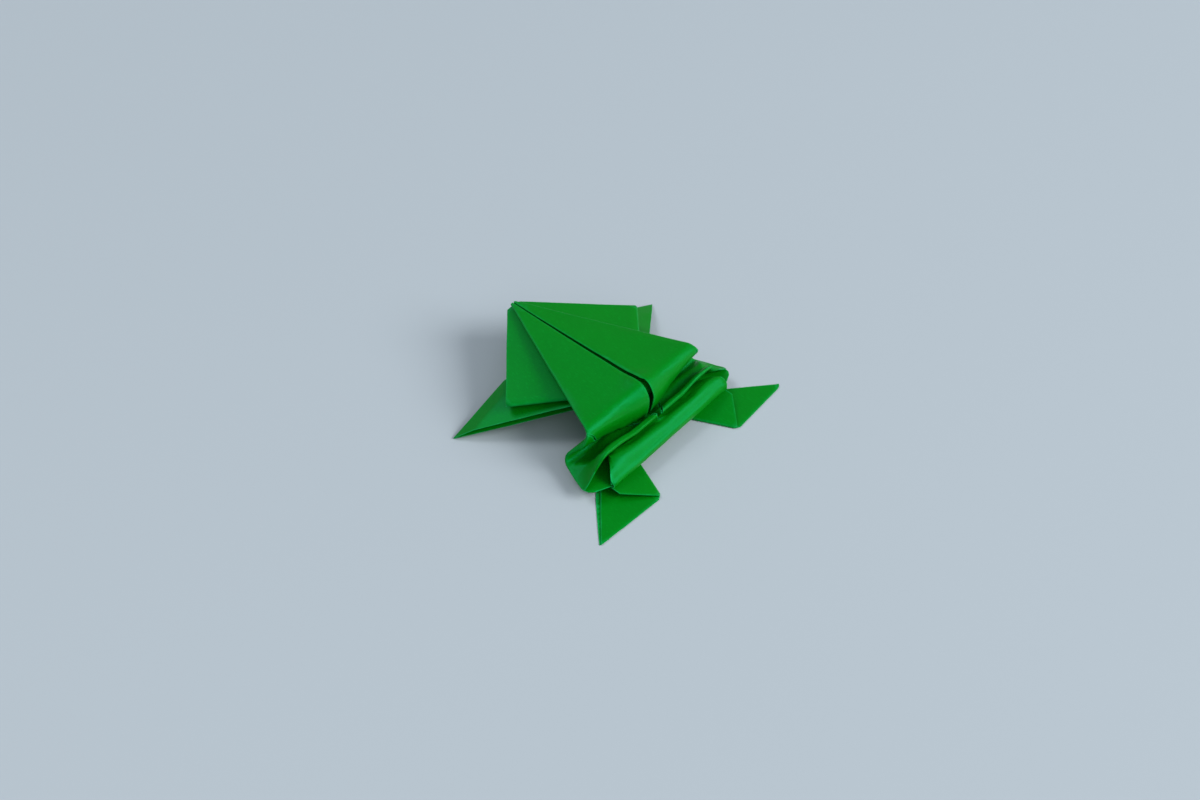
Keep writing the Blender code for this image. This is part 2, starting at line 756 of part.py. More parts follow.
class Shape:
    """Where each point of the flat model goes when the frog stands up."""

    def __init__(self):
        self.profile = pleat_profile()
        marks = np.array([VALLEY_FOLD, 1.4 * HALF_WIDTH])
        forward, height, _ = run_along(self.profile, marks, np.zeros(2))
        self.pivot = np.array([0.0, forward[0], 0.0])
        self.base = TAIL_HEIGHT - float(height[1])
        self.leg_swing = {side: self.settle(side) for side in (RIGHT, LEFT)}

    def stand(self, flat):
        """The pleat: flat x, distance from the nose, and height over the neutral ply, to real places."""
        forward, height, _ = run_along(self.profile, flat[:, 1], flat[:, 2])
        behind = np.interp(flat[:, 1], bend_ends(), (0.0, 0.5, 0.5, 1.0))
        height = height + self.base - flat[:, 0] * math.sin(FRONT_LEAN) * (1 - behind)
        places = np.stack([flat[:, 0], forward, height], axis=1)
        return turn_about(places, self.pivot, np.array([0.0, 0.0, 1.0]), REAR_TURN * behind)

    def swing_front(self, flat, side, flap, leg, leg_swing):
        """Swings a front flap down about its crease, and the leg about its own crease on the flap."""
        level = lambda ply: (ply - NEUTRAL_PLY) * PLY_PITCH
        onset = np.clip((bend_ends()[0] - flat[:, 1]) / SWING_RUN, 0.0, 1.0)
        angle = leg_crease(side, FRONT)
        axis = np.array([side * math.sin(angle), -math.cos(angle), 0.0])
        pivot = np.array([0.0, HALF_WIDTH, level(PLY["leg_lower"] + 0.5)])
        flat = turn_about(flat, pivot, axis, -side * leg_swing * leg * onset)
        axis = np.array([side, -1.0, 0.0])
        pivot = np.array([0.0, HALF_WIDTH, level(PLY["flap_belly"] + 0.5)])
        return turn_about(flat, pivot, axis, side * FRONT_FLAP_SWING[side] * flap * onset)

    def sag(self, flat, side, share):
        """Lets the lower plies of the front square hang from the middle line, down to a side corner."""
        lowered = flat.copy()
        lowered[:, 2] -= share * CORNER_SAG[side] * np.abs(flat[:, 0]) / (HALF_WIDTH / 2)
        return lowered

    def settle(self, side):
        """The swing that brings a front toe down to the table, found by halving."""
        angle = 2 * leg_crease(side, FRONT)
        toe = [side * HALF_WIDTH * math.sin(angle), HALF_WIDTH * (1 - math.cos(angle))]
        toe = np.array([toe + [-NEUTRAL_PLY * PLY_PITCH]])
        whole = np.ones(1)
        low, high = 0.0, math.radians(80)
        for _ in range(40):
            middle = (low + high) / 2
            swung = self.sag(self.swing_front(toe, side, whole, whole, middle), side, whole)
            if self.stand(swung)[0, 2] > PAPER / 2:
                low = middle
            else:
                high = middle
        return low

    def lower_rear(self, flat, side, flap, leg):
        """Lets a rear flap slope down, so that its leg lies level on the table."""
        x, y = np.abs(flat[:, 0]), flat[:, 1] - HALF_WIDTH
        drop = TAIL_HEIGHT - NEUTRAL_PLY * PLY_PITCH - PAPER / 2
        onset = np.clip((np.hypot(x, y) / HALF_WIDTH - 0.1) / 0.4, 0.0, 1.0)
        slope = np.clip((math.radians(45) - np.arctan2(x, y)) / REAR_LEG_ANGLE[side], 0.0, 1.0)
        lowered = flat.copy()
        lowered[:, 2] -= drop * onset * (leg + (flap - leg) * slope)
        return lowered

    def height(self, plies, x, y):
        """Height of a ply over the neutral one, with the panels and the tail tip sprung open."""
        height = (plies - NEUTRAL_PLY) * PLY_PITCH
        rise = panel_rise(x, y)
        sunk = TUCKED_PLIES * PLY_PITCH * (1 - tucked(x, y))
        spring = np.maximum(np.minimum(spring_slope(np.abs(x), y), spring_fade(y)), 0.0)
        panel = rise * (1 + PANEL_SPLAY * (plies - PLY["panel_back"])) + spring - sunk
        tip = tip_rise(x, y) * (TIP_SPRING + TIP_SPLAY * (plies - PLY["tip_belly"]))
        height += np.where(plies > PLY["tip_belly"], panel, np.where(plies > PLY["back"], tip, 0.0))
        return height + np.where(plies == PLY["leg_lower"], leg_rise(x, y), 0.0)

    def surface(self, points):
        """Real places of surface points, which may lie on a bend between two plies."""
        x, y = points[:, 2], points[:, 3]
        first, second, turned = points[:, 4], points[:, 5], points[:, 6]
        blend = lambda one, two: one * (1 - turned) + two * turned
        height = blend(self.height(first, x, y), self.height(second, x, y)) + points[:, 7]
        flap = blend(first <= PLY["flap_belly"], second <= PLY["flap_belly"])
        leg = blend(first <= PLY["leg_lower"], second <= PLY["leg_lower"])
        square = blend(first <= PLY["lower"], second <= PLY["lower"])
        flat = np.stack([x, y, height], axis=1)
        for side in (RIGHT, LEFT):
            here = (side * x > 0) & (flap > 0) & (y < HALF_WIDTH)
            flat[here] = self.swing_front(flat[here], side, flap[here], leg[here], self.leg_swing[side])
            here = (side * x > 0) & (square > 0) & (y < HALF_WIDTH)
            flat[here] = self.sag(flat[here], side, square[here])
            here = (side * x > 0) & (flap > 0) & (y > HALF_WIDTH)
            flat[here] = self.lower_rear(flat[here], side, flap[here], leg[here])
        return self.stand(flat)


def thicken(places, triangles, walled):
    """Gives the surface the paper's thickness, squeezed at the walls, with the cut edge all round."""
    count = len(places)
    corners = places[triangles]
    normals = np.cross(corners[:, 1] - corners[:, 0], corners[:, 2] - corners[:, 0])
    sizes = np.linalg.norm(normals, axis=1)
    normals = normals / np.maximum(sizes, 1e-18)[:, None]
    moment = np.zeros((count, 3, 3))
    pull = np.zeros((count, 3))
    for k in range(3):
        p, q, r = corners[:, k], corners[:, (k + 1) % 3], corners[:, (k + 2) % 3]
        one, two = q - p, r - p
        length = np.linalg.norm(one, axis=1) * np.linalg.norm(two, axis=1)
        cosine = np.clip((one * two).sum(axis=1) / np.maximum(length, 1e-18), -1, 1)
        weight = np.arccos(cosine) * (sizes > 1e-13)
        np.add.at(moment, triangles[:, k], weight[:, None, None] * normals[:, :, None] * normals[:, None, :])
        np.add.at(pull, triangles[:, k], weight[:, None] * normals)
    share = np.trace(moment, axis1=1, axis2=2) / 1.0
    moment += (share * 0.004 + 1e-9)[:, None, None] * np.eye(3)
    offsets = np.linalg.solve(moment, pull[:, :, None])[:, :, 0]
    sizes = np.linalg.norm(offsets, axis=1)
    offsets *= np.minimum(1.0, LONGEST_MITRE / np.maximum(sizes, 1e-9))[:, None] * PAPER / 2
    offsets[sorted(walled)] *= WALL_SQUEEZE
    edges = {(t[i], t[(i + 1) % 3]) for t in triangles.tolist() for i in range(3)}
    solid = [tuple(t) for t in triangles.tolist()]
    solid += [(t[2] + count, t[1] + count, t[0] + count) for t in triangles.tolist()]
    for p, q in sorted(edges):
        if (q, p) not in edges:
            solid.append((q, p, p + count))
            solid.append((q, p + count, q + count))
    return np.concatenate([places + offsets, places - offsets]), solid


def turning(a, b, c):
    """Twice the area of a triangle, positive where its corners run counter-clockwise."""
    return (b[0] - a[0]) * (c[1] - a[1]) - (b[1] - a[1]) * (c[0] - a[0])


def roundness(a, b, c):
    """1 for a triangle with equal sides, near 0 for a sliver, less than 0 for one turned over."""
    sides = sum((p[0] - q[0]) ** 2 + (p[1] - q[1]) ** 2 for p, q in ((a, b), (b, c), (c, a)))
    return 2 * math.sqrt(3) * turning(a, b, c) / sides


def clip_ears(outline):
    """Splits a simple counter-clockwise outline into triangles, the roundest ear first."""
    left = list(range(len(outline)))
    triangles = []
    while len(left) > 3:
        ears = []
        for i, b in enumerate(left):
            a, c = left[i - 1], left[(i + 1) % len(left)]
            corners = [outline[a], outline[b], outline[c]]
            ears.append((-roundness(*corners), i, (a, b, c)))
        for _, i, ear in sorted(ears):
            a, b, c = (outline[k] for k in ear)
            others = [outline[k] for k in left if k not in ear]
            slack = -1e-9 * turning(a, b, c)
            if not any(
                min(turning(a, b, p), turning(b, c, p), turning(c, a, p)) >= slack for p in others
            ):
                break
        triangles.append(ear)
        del left[i]
    triangles.append(tuple(left))
    return triangles


def across_wall(places):
    """The places of a wall's outline, as seen square on to the wall."""
    offsets = places - places.mean(axis=0)
    _, _, axes = np.linalg.svd(offsets)
    return offsets @ axes[:2].T


def triangulate(mesh, places):
    """Splits every face into triangles, each within its face's own outline."""
    triangles = []
    for ring, wall in zip(mesh.faces, mesh.walls):
        flat = across_wall(places[ring]) if wall else mesh.points[ring, :2]
        outline = [tuple(p) for p in flat * 1000]
        if sum(turning((0, 0), p, q) for p, q in zip(outline, outline[1:] + outline[:1])) < 0:
            outline = [(-p[0], p[1]) for p in outline]
        triangles += [[ring[k] for k in ear] for ear in clip_ears(outline)]
    return np.array(triangles)


def paper_material():
    """Green paper, dull."""
    material = bpy.data.materials.new("green_paper")
    material.use_nodes = True
    shader = material.node_tree.nodes["Principled BSDF"]
    shader.inputs["Base Color"].default_value = GREEN
    shader.inputs["Roughness"].default_value = ROUGHNESS
    shader.inputs["Metallic"].default_value = 0.0
    return material


def build_sheet():
    """Folds, stands up and thickens the strip, and sets it on the table round its own middle."""
    surface = Mesh(cut_for_bending(build_surface(folded_flat())))
    places = Shape().surface(surface.points)
    walled = {v for ring, wall in zip(surface.faces, surface.walls) if wall for v in ring}
    corners, faces = thicken(places, triangulate(surface, places), walled)
    middle = (corners.min(axis=0) + corners.max(axis=0)) / 2
    corners -= np.array([middle[0], middle[1], corners[:, 2].min()])
    mesh = bpy.data.meshes.new("folded_sheet")
    mesh.from_pydata(corners.tolist(), [], faces)
    mesh.validate()
    mesh.materials.append(paper_material())
    sheet = bpy.data.objects.new("folded_sheet", mesh)
    bpy.context.scene.collection.objects.link(sheet)
    return sheet


def main():
    """Clears the scene and builds the frog."""
    for leftover in list(bpy.data.objects):
        bpy.data.objects.remove(leftover)
    build_sheet()


main()
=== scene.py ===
"""The looks of a jumping frog folded from green paper, on a pale table in soft studio light.

The folded solid of the frame is copied into a fine skin. Its bends are rounded, and a few small warps
and ripples give it the set of real paper. It carries how far every point lies from a fold and from a
cut edge, which the paper finish paints pale: partly wear from rubbing and fraying, partly a painted
highlight that stands in for light catching the folds and edges.
"""

import logging
import math
from dataclasses import dataclass, field
from enum import Enum
from typing import Any, Sequence

import bmesh
import bpy
import numpy as np
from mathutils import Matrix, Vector, noise
from mathutils.kdtree import KDTree

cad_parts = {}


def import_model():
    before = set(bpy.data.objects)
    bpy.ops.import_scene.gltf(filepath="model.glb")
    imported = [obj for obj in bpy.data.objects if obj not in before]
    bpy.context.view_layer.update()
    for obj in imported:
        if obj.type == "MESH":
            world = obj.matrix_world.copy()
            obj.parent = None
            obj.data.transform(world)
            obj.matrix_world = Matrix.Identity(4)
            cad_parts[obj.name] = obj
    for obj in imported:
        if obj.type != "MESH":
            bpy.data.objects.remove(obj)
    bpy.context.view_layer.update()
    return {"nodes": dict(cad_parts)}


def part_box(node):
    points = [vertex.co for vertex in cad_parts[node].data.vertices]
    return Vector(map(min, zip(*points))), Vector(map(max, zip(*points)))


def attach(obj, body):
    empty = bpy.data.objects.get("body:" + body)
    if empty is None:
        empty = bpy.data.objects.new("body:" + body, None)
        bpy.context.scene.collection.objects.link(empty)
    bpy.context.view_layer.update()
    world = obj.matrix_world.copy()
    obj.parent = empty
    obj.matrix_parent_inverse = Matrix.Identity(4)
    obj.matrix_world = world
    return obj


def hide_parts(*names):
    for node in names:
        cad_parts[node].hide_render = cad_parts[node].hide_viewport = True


SHEET_NODE = "folded_sheet"
BODY = "root"
MM = 0.001
MIDDLE = 0.5
NO_LENGTH = 1e-15
ACROSS = (1.0, 0.0, 0.0)
UP = (0.0, 0.0, 1.0)
DOWN = (0.0, 0.0, -1.0)

log = logging.getLogger("paper_frog")


class Mark(Enum):
    """Names of the measures that the skin carries for its finish."""

    FOLD = "fold_distance"
    CUT = "cut_distance"


def mm(*values: float) -> tuple:
    """Millimetres as metres."""
    return tuple(value * MM for value in values)


class Value:
    """A shader socket that carries a number, with arithmetic that adds Math nodes."""

    def __init__(self, graph: "Graph", socket: Any) -> None:
        """Wraps a socket.

        Args:
            graph: The graph that the socket belongs to.
            socket: An output socket, or a plain number.
        """
        self.graph = graph
        self.socket = socket

    def _with(self, operation: str, *others: Any) -> "Value":
        """Adds one Math node.

        Args:
            operation: The Math node's operation.
            others: The values or numbers that follow this one.

        Returns:
            The node's result.
        """
        inputs = {i: v for i, v in enumerate((self, *others))}
        return self.graph.add("ShaderNodeMath", {"operation": operation}, inputs)

    def __add__(self, other: Any) -> "Value":
        """Sum."""
        return self._with("ADD", other)

    __radd__ = __add__

    def __mul__(self, other: Any) -> "Value":
        """Product."""
        return self._with("MULTIPLY", other)

    __rmul__ = __mul__

    def __sub__(self, other: Any) -> "Value":
        """Difference."""
        return self._with("SUBTRACT", other)

    def __rsub__(self, other: Any) -> "Value":
        """Difference from a number."""
        return Value(self.graph, other)._with("SUBTRACT", self)

    def clamped(self) -> "Value":
        """This value held between 0 and 1."""
        return self._with("MAXIMUM", 0.0)._with("MINIMUM", 1.0)

    def above(self, start: float, gain: float) -> "Value":
        """How far this value lies past a start, times a gain, held between 0 and 1."""
        return ((self - start) * gain).clamped()

    def contrasted(self, gain: float) -> "Value":
        """This value with its distance from the middle multiplied, held between 0 and 1."""
        return ((self - MIDDLE) * gain + MIDDLE).clamped()

    def between(self, low: float, high: float) -> "Value":
        """This value stretched so that 0 gives the low number and 1 the high one."""
        return self * (high - low) + low

    def fading(self, reach: float) -> "Value":
        """A mask that is 1 where this value is 0, and fades smoothly to 0 at a given reach.

        Args:
            reach: The value at which the mask ends.

        Returns:
            The mask.
        """
        settings = {"interpolation_type": "SMOOTHSTEP"}
        inputs = {"Value": self, "From Min": 0.0, "From Max": reach, "To Min": 1.0, "To Max": 0.0}
        return self.graph.add("ShaderNodeMapRange", settings, inputs)


@dataclass(frozen=True)
class Speckle:
    """A noise pattern: features per metre, the number of finer layers, and their strength."""

    scale: float
    detail: float
    roughness: float = 0.5


class Graph:
    """The node tree of one material."""

    def __init__(self, name: str) -> None:
        """Starts a material with an empty tree.

        Args:
            name: The material's name.
        """
        self.material = bpy.data.materials.new(name)
        self.material.use_nodes = True
        self.tree = self.material.node_tree
        self.tree.nodes.clear()

    def link(self, node: bpy.types.Node, name: Any, value: Any) -> None:
        """Feeds one input of a node with a link or a constant.

        Args:
            node: The node.
            name: The input's name or number.
            value: A wrapped socket or a constant.
        """
        value = value.socket if isinstance(value, Value) else value
        if isinstance(value, bpy.types.NodeSocket):
            self.tree.links.new(value, node.inputs[name])
        else:
            node.inputs[name].default_value = value

    def node(self, kind: str, settings: dict, inputs: dict) -> bpy.types.Node:
        """Adds a node: its settings first, then its inputs.

        Args:
            kind: The node's type.
            settings: Attributes of the node.
            inputs: Constants or links by input name or number.

        Returns:
            The node.
        """
        node = self.tree.nodes.new(kind)
        for name, value in settings.items():
            setattr(node, name, value)
        for name, value in inputs.items():
            self.link(node, name, value)
        return node

    def add(self, kind: str, settings: dict, inputs: dict, output: Any = 0) -> Value:
        """Adds a node and gives one of its outputs.

        Args:
            kind: The node's type.
            settings: Attributes of the node.
            inputs: Constants or links by input name or number.
            output: The output's name or number.

        Returns:
            The chosen output.
        """
        return Value(self, self.node(kind, settings, inputs).outputs[output])

    def mixed(self, share: Any, one: Any, two: Any) -> Value:
        """Mixes two colours.

        Args:
            share: How much of the second, from 0 to 1.
            one: The first colour.
            two: The second colour.

        Returns:
            The mixed colour.
        """
        settings = {"data_type": "RGBA", "blend_type": "MIX", "clamp_factor": True}
        return self.add("ShaderNodeMix", settings, {0: share, 6: one, 7: two}, 2)

    def noise(self, place: Value, speckle: Speckle) -> Value:
        """A noise value from 0 to 1.

        Args:
            place: The coordinates.
            speckle: The pattern.

        Returns:
            The noise.
        """
        inputs = {
            "Vector": place,
            "Scale": speckle.scale,
            "Detail": speckle.detail,
            "Roughness": speckle.roughness,
        }
        return self.add("ShaderNodeTexNoise", {}, inputs)

    def stretched(self, place: Value, scale: tuple, turn: tuple) -> Value:
        """Coordinates turned and stretched.

        Args:
            place: The coordinates.
            scale: The stretch along each axis.
            turn: Rotations about each axis in radians.

        Returns:
            The new coordinates.
        """
        inputs = {"Vector": place, "Scale": scale, "Rotation": turn}
        return self.add("ShaderNodeMapping", {}, inputs)

    def place(self) -> Value:
        """The object's own coordinates."""
        return self.add("ShaderNodeTexCoord", {}, {}, "Object")

    def measure(self, mark: Mark) -> Value:
        """A measure that the skin carries."""
        return self.add("ShaderNodeAttribute", {"attribute_name": mark.value}, {}, "Fac")

    def surface(self, inputs: dict) -> bpy.types.Material:
        """Ends the tree with a surface shader.

        Args:
            inputs: The shader's constants and links.

        Returns:
            The material.
        """
        shader = self.add("ShaderNodeBsdfPrincipled", {}, inputs)
        self.node("ShaderNodeOutputMaterial", {}, {"Surface": shader})
        return self.material


@dataclass(frozen=True)
class PaperFinish:
    """Dyed paper: a felt of short fibres, pale on folds and cut edges from wear and painted
    highlight.
    """

    dye: tuple = (0.0004, 0.240, 0.0030, 1.0)
    deep: tuple = (0.0002, 0.185, 0.0018, 1.0)
    pale: tuple = (0.0015, 0.300, 0.0160, 1.0)
    # Pale bluish green for folds and cut edges: wear, and a painted highlight of light catching them.
    wear_and_highlight: tuple = (0.0100, 0.460, 0.1200, 1.0)
    gleam: tuple = (0.005, 0.80, 0.48, 1.0)
    ior: float = 1.45
    gloss: float = 0.60
    roughness: float = 0.47
    felt_roughness: float = 0.10
    rubbed_roughness: float = 0.10
    clouds: Speckle = Speckle(160.0, 3.0)
    felt: Speckle = Speckle(2400.0, 4.0, 0.62)
    grain: Speckle = Speckle(9000.0, 2.0, 0.6)
    patches: Speckle = Speckle(700.0, 3.0)
    strands: Speckle = Speckle(5200.0, 1.0, 0.4)
    strand_stretch: tuple = (1.0, 0.16, 1.0)
    strand_turns: tuple = ((0.3, 0.2, 0.5), (0.9, -0.5, 1.6), (-0.4, 0.8, 2.7))
    strand_start: float = 0.66
    strand_gain: float = 9.0
    fleck_gain: float = 2.6
    cloud_share: float = 0.55
    fibre_share: float = 0.5
    patch_start: float = 0.30
    patch_gain: float = 2.2
    # Ranges and shares of the pale marks on folds and cut edges, partly wear and partly painted
    # highlight.
    patch_wear_and_highlight: tuple = (0.3, 1.0)
    felt_wear_and_highlight: tuple = (0.55, 1.15)
    felt_fray_and_highlight: tuple = (0.35, 1.15)
    fold_wear_and_highlight_share: float = 0.36
    edge_fray_and_highlight_share: float = 0.75
    fold_reach: float = 0.45 * MM
    cut_reach: float = 0.22 * MM
    felt_height: float = 0.5
    grain_height: float = 0.25
    fibre_height: float = 0.5
    bump_strength: float = 0.55
    fibre_depth: float = 0.012 * MM

    def material(self) -> bpy.types.Material:
        """Builds the material.

        Returns:
            The green paper.
        """
        graph = Graph("green_paper_finish")
        place = graph.place()
        felt = graph.noise(place, self.felt)
        fibres = self.fibres(graph, place)
        fold_wear_and_highlight = self.fold_wear_and_highlight(graph, place, felt)
        extra = felt * self.felt_roughness + fold_wear_and_highlight * self.rubbed_roughness
        inputs = {
            "Base Color": self.colour(graph, place, felt, fibres, fold_wear_and_highlight),
            "Roughness": (extra + (self.roughness - self.felt_roughness * MIDDLE)).clamped(),
            "Normal": self.relief(graph, place, felt, fibres),
            "IOR": self.ior,
            "Specular IOR Level": self.gloss,
            "Specular Tint": self.gleam,
        }
        return graph.surface(inputs)

    def fold_wear_and_highlight(self, graph: Graph, place: Value, felt: Value) -> Value:
        """A patchy mask of the folds, pale from rubbing and from a painted highlight along them.

        Args:
            graph: The material's graph.
            place: Object coordinates.
            felt: The felt's noise.

        Returns:
            The mask.
        """
        patchy = graph.noise(place, self.patches).above(self.patch_start, self.patch_gain)
        near = graph.measure(Mark.FOLD).fading(self.fold_reach)
        return near * patchy.between(*self.patch_wear_and_highlight) * felt.between(*self.felt_wear_and_highlight)

    def colour(
        self, graph: Graph, place: Value, felt: Value, fibres: Value, fold_wear_and_highlight: Value
    ) -> Value:
        """The paper's colour: clouded dye with flecks and fibres, pale at folds and cut edges from
        wear and painted highlight.

        Args:
            graph: The material's graph.
            place: Object coordinates.
            felt: The felt's noise.
            fibres: The mask of the fibres.
            fold_wear_and_highlight: The mask of folds pale from rubbing and from a painted highlight.

        Returns:
            The colour.
        """
        cloud = graph.noise(place, self.clouds)
        flecks = felt.contrasted(self.fleck_gain)
        tone = cloud * self.cloud_share + flecks * (1.0 - self.cloud_share)
        # The pale colour on folds and cut edges is partly wear and partly a painted highlight of
        # light catching them.
        edge_fray_and_highlight = graph.measure(Mark.CUT).fading(self.cut_reach) * felt.between(*self.felt_fray_and_highlight)
        colour = graph.mixed(tone.clamped(), self.deep, self.dye)
        colour = graph.mixed((fibres * self.fibre_share).clamped(), colour, self.pale)
        colour = graph.mixed((fold_wear_and_highlight * self.fold_wear_and_highlight_share).clamped(), colour, self.wear_and_highlight)
        return graph.mixed((edge_fray_and_highlight * self.edge_fray_and_highlight_share).clamped(), colour, self.wear_and_highlight)

    def relief(self, graph: Graph, place: Value, felt: Value, fibres: Value) -> Value:
        """The fine relief of felt, grain and fibres.

        Args:
            graph: The material's graph.
            place: Object coordinates.
            felt: The felt's noise.
            fibres: The mask of the fibres.

        Returns:
            The normal.
        """
        grain = graph.noise(place, self.grain)
        height = felt * self.felt_height + grain * self.grain_height + fibres * self.fibre_height
        inputs = {"Strength": self.bump_strength, "Distance": self.fibre_depth, "Height": height}
        return graph.add("ShaderNodeBump", {}, inputs)

    def fibres(self, graph: Graph, place: Value) -> Value:
        """Short thin fibres that lie in several directions.

        Args:
            graph: The material's graph.
            place: Object coordinates.

        Returns:
            A mask that is 1 on the fibres.
        """
        total = None
        for turn in self.strand_turns:
            along = graph.stretched(place, self.strand_stretch, turn)
            strand = graph.noise(along, self.strands)
            thread = strand.above(self.strand_start, self.strand_gain)
            total = thread if total is None else total + thread
        return total.clamped()


class TriangleNet:
    """A closed net of triangles that can be refined, rounding its bends as it goes."""

    uneven = 2.5
    guide_weight = 1e-6
    arc_share = 8

    def __init__(self, points: np.ndarray, faces: np.ndarray, deepest: float) -> None:
        """Takes over the points and the triangles.

        Args:
            points: One row of x, y, z for each point.
            faces: Three point numbers for each triangle.
            deepest: The largest bulge that one edge may get.
        """
        self.points = points
        self.faces = faces
        self.deepest = deepest

    def normals(self) -> np.ndarray:
        """The unit normal of every triangle."""
        a, b, c = (self.points[self.faces[:, k]] for k in range(3))
        return unit(np.cross(b - a, c - a))

    def edges(self) -> tuple[np.ndarray, np.ndarray, np.ndarray]:
        """Lists every edge once.

        Returns:
            The edges' ends, the two triangles beside each, and each triangle's three edges.
        """
        pairs = np.sort(self.faces[:, [[0, 1], [1, 2], [2, 0]]].reshape(-1, 2), axis=1)
        ends, inverse = np.unique(pairs, axis=0, return_inverse=True)
        owners = (np.argsort(inverse.ravel(), kind="stable") // 3).reshape(-1, 2)
        return ends, owners, inverse.reshape(-1, 3)

    def turns(self, owners: np.ndarray) -> np.ndarray:
        """How far the net turns at each edge, in radians.

        Args:
            owners: The two triangles beside each edge.

        Returns:
            The angles.
        """
        normals = self.normals()
        cosine = (normals[owners[:, 0]] * normals[owners[:, 1]]).sum(axis=1)
        return np.arccos(np.clip(cosine, -1.0, 1.0))

    def fan_normals(self, at: np.ndarray, guide: np.ndarray, limit: float) -> np.ndarray:
        """Normals at points, each over the triangles there that face much as a guide does.

        Args:
            at: Point numbers.
            guide: A unit vector for each point.
            limit: The widest angle from the guide, in radians.

        Returns:
            One unit normal for each point.
        """
        normals = self.normals()
        corners = self.faces.ravel()
        order = np.argsort(corners, kind="stable")
        first = np.searchsorted(corners[order], np.arange(len(self.points)))
        count = np.bincount(corners, minlength=len(self.points))
        many = count[at]
        row = np.repeat(np.arange(len(at)), many)
        step = np.arange(many.sum()) - np.repeat(np.cumsum(many) - many, many)
        corner = order[first[at][row] + step]
        found = normals[corner // 3]
        weight = self.corner_angles().ravel()[corner]
        weight = weight * ((found * guide[row]).sum(axis=1) > math.cos(limit))
        total = np.zeros((len(at), 3))
        for axis in range(3):
            total[:, axis] = np.bincount(row, weight * found[:, axis], len(at))
        return unit(total + guide * self.guide_weight)

    def corner_angles(self) -> np.ndarray:
        """The angle at each corner of every triangle."""
        angles = np.zeros(self.faces.shape)
        for k in range(3):
            a, b, c = (self.points[self.faces[:, (k + i) % 3]] for i in range(3))
            cosine = (unit(b - a) * unit(c - a)).sum(axis=1)
            angles[:, k] = np.arccos(np.clip(cosine, -1.0, 1.0))
        return angles

    def bulge(self, ends: np.ndarray, guide: np.ndarray, limit: float) -> np.ndarray:
        """How far the middle of each edge must move to lie on a round bend through its ends.

        Args:
            ends: The edges' ends.
            guide: A unit vector for each edge.
            limit: The widest angle from the guide within one bend, in radians.

        Returns:
            One offset for each edge; 0 where the ends don't turn alike.
        """
        chord = self.points[ends[:, 1]] - self.points[ends[:, 0]]
        one = self.fan_normals(ends[:, 0], guide, limit)
        two = self.fan_normals(ends[:, 1], guide, limit)
        rise = (chord * one).sum(axis=1)
        fall = -(chord * two).sum(axis=1)
        steep, gentle = np.abs(rise), np.abs(fall)
        alike = (rise * fall > 0) & (steep < self.uneven * gentle) & (gentle < self.uneven * steep)
        offset = -(rise[:, None] * one + fall[:, None] * two) / self.arc_share
        return offset * (alike & (np.linalg.norm(offset, axis=1) < self.deepest))[:, None]

    def refine(self, longest: float, flattest: float, smooth: float) -> None:
        """Splits the edges that are too long or too flat for their bend.

        Args:
            longest: The longest edge that may stay.
            flattest: The largest bulge that may stay flat.
            smooth: The widest turn that counts as a bend rather than an edge, in radians.
        """
        ends, owners, edge_of = self.edges()
        normals = self.normals()
        sharp = self.turns(owners) > smooth
        one, two = normals[owners[:, 0]], normals[owners[:, 1]]
        both = self.bulge(ends, one, smooth) + self.bulge(ends, two, smooth)
        offset = np.where(sharp[:, None], both, self.bulge(ends, unit(one + two), smooth))
        start, finish = self.points[ends[:, 0]], self.points[ends[:, 1]]
        length = np.linalg.norm(finish - start, axis=1)
        split = (length > longest) | (np.linalg.norm(offset, axis=1) > flattest)
        number = np.full(len(ends), -1)
        number[split] = len(self.points) + np.arange(split.sum())
        self.points = np.concatenate([self.points, ((start + finish) / 2 + offset)[split]])
        self.split_faces(number[edge_of])

    def split_faces(self, middles: np.ndarray) -> None:
        """Splits triangles at the middles of their edges.

        Args:
            middles: For each triangle's edges the new point's number, or -1.
        """
        marked = middles >= 0
        cuts = marked.sum(axis=1)
        result = [self.faces[cuts == 0]]
        for wanted in (1, 2, 3):
            these = cuts == wanted
            lead = np.argmax(marked[these] if wanted == 1 else ~marked[these], axis=1)
            turn = (lead[:, None] + np.arange(3)) % 3
            a, b, c = np.take_along_axis(self.faces[these], turn, 1).T
            ab, bc, ca = np.take_along_axis(middles[these], turn, 1).T
            if wanted == 1:
                result += [columns(a, ab, c), columns(ab, b, c)]
            elif wanted == 2:
                result += [columns(c, ca, bc), columns(a, b, bc), columns(a, bc, ca)]
            else:
                result += [columns(a, ab, ca), columns(ab, b, bc)]
                result += [columns(ca, bc, c), columns(ab, bc, ca)]
        self.faces = np.concatenate(result)

    def soften(self, share: np.ndarray, rounds: int) -> None:
        """Draws points towards the mean of their neighbours.

        Args:
            share: How far each point goes in one round, from 0 to 1.
            rounds: The number of rounds.
        """
        ends = self.edges()[0]
        near, far = np.concatenate([ends, ends[:, ::-1]]).T
        size = len(self.points)
        count = np.bincount(near, minlength=size)[:, None]
        for _ in range(rounds):
            sums = [np.bincount(near, self.points[far, axis], size) for axis in range(3)]
            mean = np.stack(sums, axis=1) / count
            self.points = self.points + share[:, None] * (mean - self.points)


def unit(vectors: np.ndarray) -> np.ndarray:
    """Vectors scaled to length 1."""
    return vectors / np.maximum(np.linalg.norm(vectors, axis=-1, keepdims=True), NO_LENGTH)


def columns(*values: np.ndarray) -> np.ndarray:
    """Rows made of one entry from each list."""
    return np.stack(values, axis=1)


def slope(values: np.ndarray, start: float, finish: float) -> np.ndarray:
    """Rises evenly from 0 at the start to 1 at the finish, and stays there.

    Args:
        values: Where to measure.
        start: The value that gives 0.
        finish: The value that gives 1.

    Returns:
        The shares.
    """
    return np.clip((values - start) / (finish - start), 0.0, 1.0)


